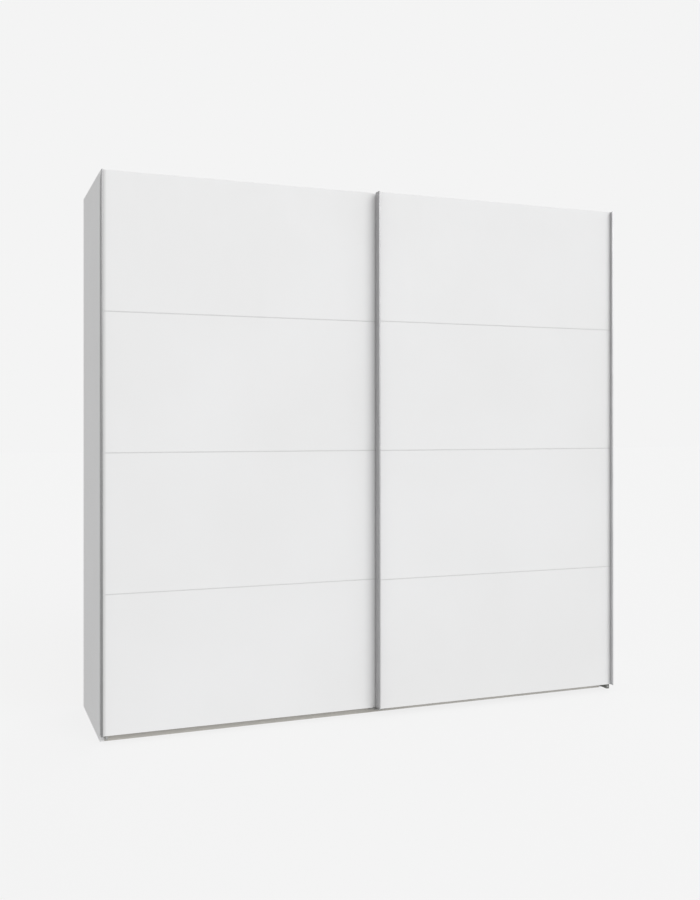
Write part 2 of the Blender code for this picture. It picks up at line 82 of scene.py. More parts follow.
def spread(tree, value, low, high, lowOut, highOut):
    return tool(tree, "MapRange", {0: value, 1: low, 2: high, 3: lowOut, 4: highOut}).outputs[0]


def mixed(tree, factor, first, second):
    return tool(tree, "Mix", {0: factor, 6: first, 7: second}, data_type="RGBA").outputs[2]


def sums(tree, way, first, second=0.0, third=0.0):
    return tool(tree, "Math", {0: first, 1: second, 2: third}, operation=way).outputs[0]


def bumps(tree, height, depth, under=None):
    plugs = {"Height": height, "Distance": depth}
    if under:
        plugs["Normal"] = under
    return tool(tree, "Bump", plugs).outputs[0]


def surfaceNormal(tree):
    return tool(tree, "NewGeometry").outputs["Normal"]


def axes(tree, vector):
    return tool(tree, "SeparateXYZ", {0: vector}).outputs


def times(tree, first, second):
    return sums(tree, "MULTIPLY", first, second)


edge = {"samples": 4, "sharp": 0.80, "flat": 0.99}


def edgeMask(tree, radius):  # 1 on the sharp corners of a piece, 0 on its faces
    rounded = tool(tree, "Bevel", {"Radius": radius}, samples=edge["samples"]).outputs[0]
    level = tool(tree, "VectorMath", {0: rounded, 1: surfaceNormal(tree)}, operation="DOT_PRODUCT")
    return spread(tree, level.outputs["Value"], edge["sharp"], edge["flat"], 1, 0)


# Finishes

board = {
    "white": (0.855, 0.857, 0.860, 1), "softWhite": (0.835, 0.836, 0.836, 1), "toneScale": 1.7,
    "specular": 0.42, "roughLow": 0.43, "roughHigh": 0.53, "streakScale": 21,
    "handled": (0.66, 0.65, 0.62, 1), "handledWidth": 1.1 * mm, "handledScale": 46, "handledRough": 0.62,
    "pearl": 0.014 * mm, "pearlScale": 620, "sway": 0.10 * mm, "swayScale": 7,
    "glueLine": (0.50, 0.49, 0.46, 1), "glue": 0.55, "glueWidth": 0.14 * mm, "bandThickness": 0.9 * mm,
    "chipLight": (0.58, 0.43, 0.27, 1), "chipDark": (0.30, 0.20, 0.11, 1), "chipScale": 330,
    # after grainScale: tone, strength, noise scale and span of a painted shadow beside the left door's grip
    "grainScale": 1400, "gripShadowTone": (0.50, 0.50, 0.495, 1), "dull": 0.72, "gripShadowScale": 24,
    "gripShadowFrom": 5 * mm, "gripShadowTo": 19 * mm,
}


def whiteCoat(tree, shader):  # pearl-embossed melamine with rubbed corners
    where = place(tree)
    cloud = spread(tree, noise(tree, where, board["toneScale"], 3), 0.35, 0.65, 0, 1)
    patches = noise(tree, where, board["handledScale"], 4, 0.65)
    patches = spread(tree, patches, 0.48, 0.72, 0.10, 0.85)
    rub = times(tree, edgeMask(tree, board["handledWidth"]), patches)
    tone = mixed(tree, rub, mixed(tree, cloud, board["white"], board["softWhite"]), board["handled"])
    streaks = noise(tree, place(tree, (1, 1, 0.35)), board["streakScale"], 4, 0.6)
    rough = spread(tree, streaks, 0.3, 0.7, board["roughLow"], board["roughHigh"])
    feed(tree, shader.inputs["Roughness"], spread(tree, rub, 0, 1, rough, board["handledRough"]))
    sway = bumps(tree, noise(tree, where, board["swayScale"], 1), board["sway"])
    pearl = noise(tree, where, board["pearlScale"], 2, 0.6)
    feed(tree, shader.inputs["Normal"], bumps(tree, pearl, board["pearl"], sway))
    return where, tone


def doorBoardFinish():  # painted shadow on the front beside the left grip, in place of the soft shadow of a deeper one
    made, tree, shader = newFinish("whiteDoorBoard", {"Specular IOR Level": board["specular"]})
    where, tone = whiteCoat(tree, shader)
    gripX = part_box("left_door_profile_left")[0].x
    start, end = gripX + board["gripShadowFrom"], gripX + board["gripShadowTo"]
    beside = spread(tree, axes(tree, where)["X"], start, end, board["dull"], 0)
    uneven = noise(tree, place(tree, (1, 1, 0.2)), board["gripShadowScale"], 3)
    uneven = spread(tree, uneven, 0.3, 0.7, 0.85, 1)
    front = sums(tree, "LESS_THAN", axes(tree, surfaceNormal(tree))["Y"], -0.5)
    # painted shadow: greyer on the front faces just beside the left grip
    paintedGripShadow = times(tree, times(tree, beside, uneven), front)
    feed(tree, shader.inputs["Base Color"], mixed(tree, paintedGripShadow, tone, board["gripShadowTone"]))
    return made


def caseBoardFinish(name, bandY, rawFoot=False):  # edge band in front, raw chipboard behind
    made, tree, shader = newFinish(name, {"Specular IOR Level": board["specular"]})
    where, tone = whiteCoat(tree, shader)
    spot = axes(tree, where)
    line = sums(tree, "COMPARE", spot["Y"], bandY + board["bandThickness"], board["glueWidth"])
    tone = mixed(tree, times(tree, line, board["glue"]), tone, board["glueLine"])
    side = axes(tree, surfaceNormal(tree))
    raw = sums(tree, "GREATER_THAN", side["Y"], 0.8)
    if rawFoot:
        raw = sums(tree, "MAXIMUM", raw, sums(tree, "LESS_THAN", side["Z"], -0.8))
    flakes = tool(tree, "TexVoronoi", {"Vector": place(tree, (1, 1, 0.45)), "Scale": board["chipScale"]})
    chips = axes(tree, flakes.outputs["Color"])["X"]
    grain = times(tree, chips, noise(tree, where, board["grainScale"], 3, 0.7))
    chipTone = mixed(tree, spread(tree, grain, 0.1, 0.55, 0, 1), board["chipDark"], board["chipLight"])
    feed(tree, shader.inputs["Base Color"], mixed(tree, raw, tone, chipTone))
    return made


backSheet = {
    "inside": (0.76, 0.76, 0.75, 1), "insideDim": (0.72, 0.72, 0.71, 1), "fibre": (0.42, 0.29, 0.17, 1),
    "fibrePale": (0.55, 0.41, 0.26, 1), "cloudScale": 5, "fluffScale": 240, "fluffDepth": 0.03 * mm,
    "meshScale": 520, "meshDepth": 0.05 * mm, "roughLow": 0.58, "roughHigh": 0.78, "specular": 0.25,
}


def backSheetFinish():  # printed white inside, bare pressed fibre with its screen marks outside
    made, tree, shader = newFinish("hardboardSheet", {"Specular IOR Level": backSheet["specular"]})
    where = place(tree)
    outside = sums(tree, "GREATER_THAN", axes(tree, surfaceNormal(tree))["Y"], 0.5)
    cloud = noise(tree, where, backSheet["cloudScale"], 5, 0.6)
    fluff = noise(tree, place(tree, (1, 1, 0.5)), backSheet["fluffScale"], 4, 0.7)
    blend = spread(tree, sums(tree, "ADD", cloud, fluff), 0.55, 1.45, 0, 1)
    fibre = mixed(tree, blend, backSheet["fibre"], backSheet["fibrePale"])
    inside = mixed(tree, cloud, backSheet["inside"], backSheet["insideDim"])
    feed(tree, shader.inputs["Base Color"], mixed(tree, outside, inside, fibre))
    rough = spread(tree, fluff, 0.3, 0.7, backSheet["roughLow"], backSheet["roughHigh"])
    feed(tree, shader.inputs["Roughness"], rough)
    spot = axes(tree, where)
    pitch = backSheet["meshScale"] * math.pi
    across, up = (sums(tree, "SINE", times(tree, spot[key], pitch)) for key in "XZ")
    screen = times(tree, times(tree, across, up), outside)
    under = bumps(tree, fluff, backSheet["fluffDepth"])
    feed(tree, shader.inputs["Normal"], bumps(tree, screen, backSheet["meshDepth"], under))
    return made


plastics = {  # name: light and dark tone, roughness, depth and scale of the moulded texture
    "whitePlastic": ((0.79, 0.79, 0.78, 1), (0.74, 0.74, 0.73, 1), 0.42, 0.02 * mm, 900),
    "jointPlastic": ((0.74, 0.74, 0.74, 1), (0.69, 0.69, 0.69, 1), 0.48, 0.02 * mm, 900),
    "darkPlastic": ((0.25, 0.25, 0.235, 1), (0.185, 0.185, 0.175, 1), 0.5, 0.05 * mm, 700),
    "greyPlastic": ((0.37, 0.37, 0.355, 1), (0.30, 0.30, 0.285, 1), 0.5, 0.05 * mm, 700),
    # shadowPlastic: near-black, for discs that paint the shade inside the shelf-pin holes
    "shadowPlastic": ((0.035, 0.033, 0.03, 1), (0.02, 0.019, 0.018, 1), 0.8, 0.03 * mm, 900),
}
moulding = {"specular": 0.45, "cloudScale": 34, "wear": 0.35, "wearWidth": 0.5 * mm, "paler": 1.5,
            "palerBy": 0.02, "polishScale": 85, "smoother": 0.05, "rougher": 0.07}


def plasticFinish(name):
    light, dark, roughness, depth, scale = plastics[name]
    made, tree, shader = newFinish(name, {"Specular IOR Level": moulding["specular"]})
    where = place(tree)
    worn = times(tree, edgeMask(tree, moulding["wearWidth"]), moulding["wear"])
    tone = mixed(tree, noise(tree, where, moulding["cloudScale"], 3), dark, light)
    pale = tuple(min(1, part * moulding["paler"] + moulding["palerBy"]) for part in light[:3]) + (1,)
    feed(tree, shader.inputs["Base Color"], mixed(tree, worn, tone, pale))
    polish = noise(tree, where, moulding["polishScale"], 3)
    low, high = roughness - moulding["smoother"], roughness + moulding["rougher"]
    feed(tree, shader.inputs["Roughness"], spread(tree, polish, 0.3, 0.7, low, high))
    cells = tool(tree, "TexVoronoi", {"Vector": where, "Scale": scale}, feature="SMOOTH_F1")
    feed(tree, shader.inputs["Normal"], bumps(tree, cells.outputs["Distance"], depth))
    return made


aluminium = {  # painted shade and light: the gains make the left outer grip darker and the right one lighter than the light does
    "tone": (0.51, 0.51, 0.515), "shade": (0.44, 0.44, 0.445), "rubbed": (0.72, 0.72, 0.73, 1),
    "leftShadeGain": 0.7, "rightLightGain": 1.38, "metallic": 0.92, "anisotropy": 0.35,
    "lineScale": 900, "lineStretch": 0.012, "lineDepth": 0.012 * mm, "roughLow": 0.33, "roughHigh": 0.46,
    "cloudScale": 11, "wearScale": 70, "wearWidth": 0.5 * mm,
}


def aluminiumFinish(name, along, gain=1.0):  # satin anodised, with fine drawing and brushing lines
    look = {"Metallic": aluminium["metallic"], "Anisotropic": aluminium["anisotropy"]}
    made, tree, shader = newFinish(name, look)
    stretch = [1.0, 1.0, 1.0]
    stretch["XYZ".index(along)] = aluminium["lineStretch"]
    drawn = noise(tree, place(tree, stretch), aluminium["lineScale"], 3, 0.65)
    cloud = noise(tree, place(tree), aluminium["cloudScale"], 3)
    # a gain below 1 paints shade into both tones, above 1 paints light
    shade, tone = (tuple(part * gain for part in aluminium[key]) + (1,) for key in ("shade", "tone"))
    tone = mixed(tree, spread(tree, sums(tree, "ADD", drawn, cloud), 0.7, 1.3, 0, 1), shade, tone)
    patches = spread(tree, noise(tree, place(tree), aluminium["wearScale"], 3), 0.35, 0.7, 0.15, 0.6)
    wear = times(tree, edgeMask(tree, aluminium["wearWidth"]), patches)
    feed(tree, shader.inputs["Base Color"], mixed(tree, wear, tone, aluminium["rubbed"]))
    rough = spread(tree, drawn, 0.3, 0.7, aluminium["roughLow"], aluminium["roughHigh"])
    feed(tree, shader.inputs["Roughness"], rough)
    feed(tree, shader.inputs["Normal"], bumps(tree, drawn, aluminium["lineDepth"]))
    return made


foil = {
    "specular": 0.4, "grey": (0.56, 0.54, 0.50, 1), "deep": (0.49, 0.475, 0.44, 1),
    "streakScale": 260, "streakDepth": 0.02 * mm, "roughLow": 0.44, "roughHigh": 0.56,
    # the pale tone with its span and share paints light on the foil under the right door
    "pale": (0.82, 0.80, 0.76, 1), "litFrom": -20 * mm, "litTo": 180 * mm, "litShare": 0.4,
    "scuffed": (0.66, 0.65, 0.62, 1), "scuffLow": 1 * mm, "scuffHigh": 12 * mm, "scuffScale": 120,
    "wearWidth": 1 * mm, "wear": 0.3,
}


def plinthFoilFinish():
    made, tree, shader = newFinish("plinthFoil", {"Specular IOR Level": foil["specular"]})
    streaks = noise(tree, place(tree, (0.08, 1, 1)), foil["streakScale"], 4, 0.6)
    tone = mixed(tree, spread(tree, streaks, 0.3, 0.7, 0, 1), foil["deep"], foil["grey"])
    spot = axes(tree, place(tree))
    paintedLightRight = spread(tree, spot["X"], foil["litFrom"], foil["litTo"], 0, foil["litShare"])
    tone = mixed(tree, paintedLightRight, tone, foil["pale"])  # painted light: paler under the right door
    low = spread(tree, spot["Z"], foil["scuffLow"], foil["scuffHigh"], 1, 0)  # mop and shoe marks
    patches = noise(tree, place(tree, (0.4, 1, 1)), foil["scuffScale"], 4, 0.7)
    patches = spread(tree, patches, 0.5, 0.7, 0, 0.5)
    corners = times(tree, edgeMask(tree, foil["wearWidth"]), foil["wear"])
    wear = sums(tree, "MAXIMUM", times(tree, low, patches), corners)
    feed(tree, shader.inputs["Base Color"], mixed(tree, wear, tone, foil["scuffed"]))
    rough = spread(tree, streaks, 0.3, 0.7, foil["roughLow"], foil["roughHigh"])
    feed(tree, shader.inputs["Roughness"], rough)
    feed(tree, shader.inputs["Normal"], bumps(tree, streaks, foil["streakDepth"]))
    return made


zinc = {
    "bright": (0.66, 0.67, 0.69, 1), "dull": (0.50, 0.51, 0.53, 1), "bloom": (0.62, 0.60, 0.52, 1),
    "cloudScale": 48, "bloomScale": 90, "lineScale": 800, "lineDepth": 0.006 * mm,
    "roughLow": 0.26, "roughHigh": 0.44,
}


def zincFinish():  # bright plating with soft clouds, rolling lines and a faint yellow bloom
    made, tree, shader = newFinish("zincPlate", {"Metallic": 1.0})
    where = place(tree)
    cloud = noise(tree, where, zinc["cloudScale"], 4, 0.6)
    lines = noise(tree, place(tree, (0.02, 1, 1)), zinc["lineScale"], 2)
    bloom = spread(tree, noise(tree, where, zinc["bloomScale"], 2), 0.56, 0.7, 0, 0.5)
    tone = mixed(tree, spread(tree, cloud, 0.35, 0.65, 0, 1), zinc["dull"], zinc["bright"])
    feed(tree, shader.inputs["Base Color"], mixed(tree, bloom, tone, zinc["bloom"]))
    rough = spread(tree, cloud, 0.3, 0.7, zinc["roughLow"], zinc["roughHigh"])
    feed(tree, shader.inputs["Roughness"], rough)
    feed(tree, shader.inputs["Normal"], bumps(tree, lines, zinc["lineDepth"]))
    return made


chrome = {
    "bright": (0.80, 0.80, 0.82, 1), "smudged": (0.70, 0.70, 0.72, 1), "smudgeScale": 30,
    "roughLow": 0.08, "roughHigh": 0.34, "scratchScale": 1200, "scratchDepth": 0.004 * mm,
}


def chromeFinish():  # hangers dull the top along the tube
    made, tree, shader = newFinish("chromeTube", {"Metallic": 1.0})
    rubbed = noise(tree, place(tree, (0.3, 1, 1)), chrome["smudgeScale"], 5, 0.65)
    top = spread(tree, axes(tree, surfaceNormal(tree))["Z"], 0.4, 1.0, 0, 0.6)
    smudges = spread(tree, rubbed, 0.45, 0.75, 0, 0.5)
    dull = sums(tree, "MAXIMUM", smudges, times(tree, top, rubbed))
    feed(tree, shader.inputs["Base Color"], mixed(tree, dull, chrome["bright"], chrome["smudged"]))
    rough = spread(tree, dull, 0, 1, chrome["roughLow"], chrome["roughHigh"])
    feed(tree, shader.inputs["Roughness"], rough)
    scratches = noise(tree, place(tree, (0.05, 1, 1)), chrome["scratchScale"], 2)
    feed(tree, shader.inputs["Normal"], bumps(tree, scratches, chrome["scratchDepth"]))
    return made


wheel = {
    "specular": 0.5, "glow": 0.08, "glowDepth": 2 * mm, "roughLow": 0.22, "roughHigh": 0.36,
    "body": (0.80, 0.80, 0.76, 1), "shadow": (0.72, 0.72, 0.68, 1), "cloudScale": 60,
    "track": (0.36, 0.36, 0.36, 1), "trackHalf": 0.24, "trackFrom": 0.3, "grimeScale": 260,
    "rings": 260, "ringDepth": 0.008 * mm,
}


def rollerFinish():  # acetal, greyed where the tread runs on the rib
    look = {"Specular IOR Level": wheel["specular"], "Subsurface Weight": wheel["glow"],
            "Subsurface Scale": wheel["glowDepth"]}
    made, tree, shader = newFinish("rollerAcetal", look)
    middle = axes(tree, place(tree, source="Generated"))
    out, deep, up = (sums(tree, "SUBTRACT", middle[key], 0.5) for key in "XYZ")
    radius = sums(tree, "SQRT", sums(tree, "ADD", times(tree, out, out), times(tree, up, up)))
    between = sums(tree, "LESS_THAN", sums(tree, "ABSOLUTE", deep), wheel["trackHalf"])
    inGroove = times(tree, between, sums(tree, "GREATER_THAN", radius, wheel["trackFrom"]))
    dirt = spread(tree, noise(tree, place(tree), wheel["grimeScale"], 4, 0.7), 0.3, 0.7, 0.25, 0.8)
    grime = times(tree, inGroove, dirt)
    tone = mixed(tree, noise(tree, place(tree), wheel["cloudScale"], 3), wheel["body"], wheel["shadow"])
    feed(tree, shader.inputs["Base Color"], mixed(tree, grime, tone, wheel["track"]))
    rough = spread(tree, grime, 0, 1, wheel["roughHigh"], wheel["roughLow"])
    feed(tree, shader.inputs["Roughness"], rough)
    rings = sums(tree, "SINE", times(tree, radius, wheel["rings"]))  # turning marks on the faces
    feed(tree, shader.inputs["Normal"], bumps(tree, rings, wheel["ringDepth"]))
    return made


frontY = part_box("side_panel_left")[0].y
finishes = {
    "doorBoard": doorBoardFinish(),
    "wallBoard": caseBoardFinish("whiteWallBoard", frontY, rawFoot=True),
    "levelBoard": caseBoardFinish("whiteLevelBoard", frontY),
    "shelfBoard": caseBoardFinish("whiteShelfBoard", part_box("hat_shelf_left")[0].y),
    "backSheet": backSheetFinish(),
    **{name: plasticFinish(name) for name in plastics},
    "profileAluminium": aluminiumFinish("profileAluminium", "Z"),
    # shaded and lit copies of one aluminium: painted shade on the left outer grip, painted light on the
    # right one
    "shadedLeftAluminium": aluminiumFinish("shadedLeftAluminium", "Z", aluminium["leftShadeGain"]),
    "litRightAluminium": aluminiumFinish("litRightAluminium", "Z", aluminium["rightLightGain"]),
    "trackAluminium": aluminiumFinish("trackAluminium", "X"),
    "plinthFoil": plinthFoilFinish(),
    "zincPlate": zincFinish(),
    "chromeTube": chromeFinish(),
    "rollerAcetal": rollerFinish(),
}
print(f"{len(finishes)} finishes mixed")


# The model's own nodes: a finish and softened corners

bySlot = {  # slot of the record: finish, corner radius
    "white_board": ("levelBoard", 0.7 * mm),
    "white_back": ("backSheet", 0.25 * mm),
    "white_plastic": ("whitePlastic", 0.2 * mm),
    "joint_strip_plastic": ("jointPlastic", 0.25 * mm),
    "satin_aluminium": ("profileAluminium", 0.4 * mm),
    "warm_grey_foil": ("plinthFoil", 0.8 * mm),
    "zinc_steel": ("zincPlate", 0.35 * mm),
    "chrome_tube": ("chromeTube", 0.25 * mm),
    "dark_plastic": ("darkPlastic", 0.5 * mm),
    "roller_plastic": ("rollerAcetal", 0.3 * mm),
}
byName = {  # part of a name: finish, where it isn't the slot's; the last that fits counts
    "_panel_": "doorBoard",
    "side_panel": "wallBoard",
    "centre_partition": "wallBoard",
    "hat_shelf": "shelfBoard",
    "top_panel": "levelBoard",
    "bottom_panel": "levelBoard",
    "top_track": "trackAluminium",
    "foot_guide_left": "greyPlastic",
    "foot_guide_centre": "greyPlastic",
    # the outer grips take the copies with painted shade (left) and painted light (right)
    "left_door_profile_left": "shadedLeftAluminium",
    "right_door_profile_right": "litRightAluminium",
}
rounding = {"steps": 3, "angle": 35, "weld": 0.01 * mm, "doorRadius": 0.45 * mm}  # angle in degrees


def soften(piece, radius):
    weld = piece.modifiers.new("weld", "WELD")
    weld.merge_threshold = rounding["weld"]
    if radius:
        corner = piece.modifiers.new("corner", "BEVEL")
        corner.width, corner.segments = radius, rounding["steps"]
        corner.limit_method, corner.angle_limit = "ANGLE", math.radians(rounding["angle"])
    shade = piece.modifiers.new("shade", "WEIGHTED_NORMAL")
    shade.keep_sharp = not radius


for name, piece in nodes.items():
    slotName = piece.material_slots[0].name.split(".")[0]
    finishName, radius = bySlot[slotName]
    for part, other in byName.items():
        if part in name:
            finishName = other
    if finishName == "doorBoard":
        radius = rounding["doorRadius"]
    soften(piece, radius)
    piece.material_slots[0].link = "OBJECT"
    piece.material_slots[0].material = finishes[finishName]
print("nodes finished")


# Small hardware

fit = 0.3 * mm  # play between parts that meet
overlap = 0.2 * mm  # how far small parts reach into what they stand on
doorPlay = 1.5 * mm  # between a door's underside and the guides
sharpFrom = 32  # degrees between faces that keep a sharp edge


def ring(radius, height, steps):
    turns = [math.tau * i / steps for i in range(steps)]
    return [Vector((radius * math.cos(turn), radius * math.sin(turn), height)) for turn in turns]


def crossRing(arm, half, height, steps):  # outline of a cross-shaped driver recess
    corners = []
    for i in range(steps):
        angle = math.tau * i / steps
        c, s = abs(math.cos(angle)) + 1e-9, abs(math.sin(angle)) + 1e-9
        reach = max(min(arm / c, half / s), min(half / c, arm / s))
        corners.append(Vector((reach * math.cos(angle), reach * math.sin(angle), height)))
    return corners


def loft(shape, rings, home):
    made = [[shape.verts.new(home @ point) for point in loop] for loop in rings]
    for low, high in zip(made, made[1:]):
        for i in range(len(low)):
            j = (i + 1) % len(low)
            shape.faces.new((low[i], low[j], high[j], high[i]))
    shape.faces.new(list(reversed(made[0])))
    shape.faces.new(made[-1])


def hoop(shape, section, steps, home):  # a closed ring turned from (radius, height) points
    loops = [ring(radius, height, steps) for radius, height in section]
    made = [[shape.verts.new(home @ point) for point in loop] for loop in loops]
    for low, high in zip(made, made[1:] + made[:1]):
        for i in range(steps):
            j = (i + 1) % steps
            shape.faces.new((low[i], low[j], high[j], high[i]))


def facing(point, direction, turn=0.0):
    look = Vector(direction).to_track_quat("Z", "Y").to_matrix().to_4x4()
    return Matrix.Translation(Vector(point)) @ look @ Matrix.Rotation(turn, 4, "Z")


# outline: shares of radius and height; cross: shares of radius for its arm and half width, and of height
screwForm = {"steps": 16, "sink": 0.15 * mm, "outline": ((1, 0.35), (0.86, 0.8), (0.66, 1)),
             "cross": ((0.5, 0.13, 1), (0.36, 0.10, 0.3))}
smallScrewForm = {**screwForm, "steps": 12}
capForm = {"steps": 24, "sink": 0.1 * mm, "outline": ((1, 0.5), (0.93, 0.92), (0.80, 1), (0.74, 0.72)),
           "cross": ((0.5, 0.10, 0.72), (0.46, 0.08, 0.2))}
nailForm = {"steps": 10, "sink": overlap, "outline": ((1, 0.3), (0.8, 0.8), (0.35, 1)), "cross": ()}
rivetForm = {"steps": 20, "sink": overlap, "outline": ((1, 0.25), (0.85, 0.7), (0.55, 1), (0.3, 0.92)),
             "cross": ()}


def head(shape, form, radius, height, home):
    steps = form["steps"]
    loops = [ring(radius, -form["sink"], steps)]
    loops += [ring(out * radius, up * height, steps) for out, up in form["outline"]]
    loops += [crossRing(arm * radius, half * radius, up * height, steps) for arm, half, up in form["cross"]]
    loft(shape, loops, home)


def makePiece(name, shape, finish, body):
    bmesh.ops.recalc_face_normals(shape, faces=shape.faces)
    mesh = bpy.data.meshes.new(name)
    shape.to_mesh(mesh)
    shape.free()
    mesh.materials.append(finishes[finish])
    mesh.shade_smooth()
    mesh.set_sharp_from_angle(angle=math.radians(sharpFrom))
    piece = bpy.data.objects.new(name, mesh)
    bpy.context.scene.collection.objects.link(piece)
    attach(piece, body)


def evenly(low, high, spacing, margin):
    count = max(1, round((high - low - 2 * margin) / spacing))
    return [low + margin + (high - low - 2 * margin) * i / count for i in range(count + 1)]


# Case hardware

trackScrew = {"radius": 3.6 * mm, "height": 0.7 * mm, "spacing": 290 * mm, "margin": 60 * mm,
              "base": 3 * mm}


def trackScrews():
    low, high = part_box("top_track")
    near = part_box("left_door_left_roller_a")
    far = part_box("right_door_left_roller_a")
    y = (near[0].y + near[1].y + far[0].y + far[1].y) / 4
    shape = bmesh.new()
    for i, x in enumerate(evenly(low.x, high.x, trackScrew["spacing"], trackScrew["margin"])):
        home = facing((x, y, low.z + trackScrew["base"]), (0, 0, 1), 0.7 * i)
        head(shape, screwForm, trackScrew["radius"], trackScrew["height"], home)
    makePiece("track_screws", shape, "zincPlate", "case")


stopScrew = {"radius": 4.2 * mm, "height": 2.2 * mm}


def stopScrews():
    shape = bmesh.new()
    for side in compartments:
        low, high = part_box(f"track_stop_{side}")
        home = facing(((low.x + high.x) / 2, (low.y + high.y) / 2, high.z), (0, 0, 1), 0.3)
        head(shape, screwForm, stopScrew["radius"], stopScrew["height"], home)
    makePiece("track_stop_screws", shape, "zincPlate", "case")


guideScrew = {"radius": 3.1 * mm, "height": 1.4 * mm, "out": 15 * mm, "plate": 3.5 * mm, "below": 9 * mm,
              "endRadius": 2.7 * mm, "endHeight": 0.8 * mm}


def guideScrews():  # two in the middle guide, one in the front of each end guide
    shape = bmesh.new()
    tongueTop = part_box("left_door_panel_1")[0].z - doorPlay
    for side in (-1, 1):
        point = (side * guideScrew["out"], frontY - guideScrew["plate"], tongueTop - guideScrew["below"])
        home = facing(point, (0, -1, 0), side)
        head(shape, screwForm, guideScrew["radius"], guideScrew["height"], home)
    for side in compartments:
        low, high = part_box(f"foot_guide_{side}")
        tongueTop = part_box(f"{side}_door_panel_1")[0].z - doorPlay
        home = facing(((low.x + high.x) / 2, low.y, (low.z + tongueTop) / 2), (0, -1, 0), 0.4)
        head(shape, screwForm, guideScrew["endRadius"], guideScrew["endHeight"], home)
    makePiece("foot_guide_screws", shape, "zincPlate", "case")


bearerPlate = {"width": 40 * mm, "height": 66 * mm, "thickness": 1.8 * mm, "steps": 28,
               "outline": ((1, 0), (1, 0.6), (0.965, 0.9), (0.92, 1)),
               "screwOut": 25 * mm, "screwRadius": 3.2 * mm, "screwHeight": 1.2 * mm}


def bearerPlates():  # oval plates that hold the rail bearers to the walls
    plates, screws = bmesh.new(), bmesh.new()
    for side in compartments:
        for end, towards in (("left", 1), ("right", -1)):
            low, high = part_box(f"rail_bearer_{side}_{end}")
            wall = low.x if end == "left" else high.x
            middle = Vector((wall, (low.y + high.y) / 2, (low.z + high.z) / 2))
            home = facing(middle, (towards, 0, 0))
            upright = home.to_3x3().inverted() @ Vector((0, 0, 1))
            loops = []
            for share, height in bearerPlate["outline"]:
                loop = []
                for i in range(bearerPlate["steps"]):
                    angle = math.tau * i / bearerPlate["steps"]
                    level, across = math.cos(angle), math.sin(angle)
                    up = upright * (level * share * bearerPlate["height"] / 2)
                    out = upright.cross(Vector((0, 0, 1))) * (across * share * bearerPlate["width"] / 2)
                    loop.append(up + out + Vector((0, 0, height * bearerPlate["thickness"])))
                loops.append(loop)
            loft(plates, loops, home)
            for lift in (-1, 1):
                offset = Vector((towards * bearerPlate["thickness"], 0, lift * bearerPlate["screwOut"]))
                home = facing(middle + offset, (towards, 0, 0), 0.5 * lift)
                head(screws, screwForm, bearerPlate["screwRadius"], bearerPlate["screwHeight"], home)
    makePiece("rail_bearer_plates", plates, "zincPlate", "case")
    makePiece("rail_bearer_screws", screws, "zincPlate", "case")


camCap = {"radius": 7.6 * mm, "height": 1.0 * mm, "fromWall": 34 * mm, "fromEdge": 62 * mm}


def camCaps():  # cam fittings on the undersides of the top panels and hat shelves
    shape = bmesh.new()
    for side in compartments:
        for level in ("top_panel", "hat_shelf"):
            low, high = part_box(f"{level}_{side}")
            for x in (low.x + camCap["fromWall"], high.x - camCap["fromWall"]):
                for i, y in enumerate((low.y + camCap["fromEdge"], high.y - camCap["fromEdge"])):
                    home = facing((x, y, low.z), (0, 0, -1), 0.4 + i)
                    head(shape, capForm, camCap["radius"], camCap["height"], home)
    makePiece("cam_caps", shape, "zincPlate", "case")


pinHole = {"bore": 2.5 * mm, "rim": 3.3 * mm, "proud": 0.12 * mm, "cover": 0.03 * mm, "pitch": 32 * mm,
           "rows": 37, "lowest": 352 * mm, "fromEdge": 37 * mm, "steps": 12}


def pinHoles():  # the rows of shelf-pin holes in both walls of each compartment: raised rims, and near-black discs that paint the shade inside each bore
    rims, shadeDiscs = bmesh.new(), bmesh.new()
    bore, rim, proud, steps = (pinHole[key] for key in ("bore", "rim", "proud", "steps"))
    section = [(bore, 0), (bore, proud), (rim - proud, proud), (rim, 0)]
    # painted shade: a near-black disc sits where each bore's dark inside would be
    disc = [ring(bore, -overlap, steps), ring(bore, pinHole["cover"], steps)]
    for side in compartments:
        low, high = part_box(f"bottom_panel_{side}")
        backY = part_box(f"back_sheet_{side}_outer")[0].y
        for wall, towards in ((low.x - fit, 1), (high.x + fit, -1)):
            for y in (frontY + pinHole["fromEdge"], backY - pinHole["fromEdge"]):
                for i in range(pinHole["rows"]):
                    z = pinHole["lowest"] + i * pinHole["pitch"]
                    home = facing((wall, y, z), (towards, 0, 0))
                    hoop(rims, section, steps, home)
                    loft(shadeDiscs, disc, home)
    makePiece("pin_hole_rims", rims, "whitePlastic", "case")
    makePiece("pin_hole_shade_discs", shadeDiscs, "shadowPlastic", "case")


backSeal = {"width": 1.1 * mm, "sink": 0.1 * mm, "hollow": 0.35}


def backSeals():  # a fine bead closes the seam between each wall and the sheet behind it
    shape = bmesh.new()
    width, sink = backSeal["width"], backSeal["sink"]
    hollow = backSeal["hollow"] * width
    section = [(-sink, sink), (-sink, -width), (hollow, -hollow), (width, sink)]
    for side in compartments:
        floor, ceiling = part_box(f"bottom_panel_{side}"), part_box(f"top_panel_{side}")
        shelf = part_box(f"hat_shelf_{side}")
        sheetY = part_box(f"back_sheet_{side}_outer")[0].y
        for wall, inward in ((floor[0].x - fit, 1), (floor[1].x + fit, -1)):
            for ends in ((floor[1].z, shelf[0].z), (shelf[1].z, ceiling[0].z)):
                loops = [[Vector((wall + inward * out, sheetY + ahead, z)) for out, ahead in section]
                         for z in ends]
                loft(shape, loops, Matrix())
    makePiece("back_seals", shape, "whitePlastic", "case")


nail = {"radius": 2.3 * mm, "height": 0.7 * mm, "spacing": 105 * mm, "margin": 18 * mm}


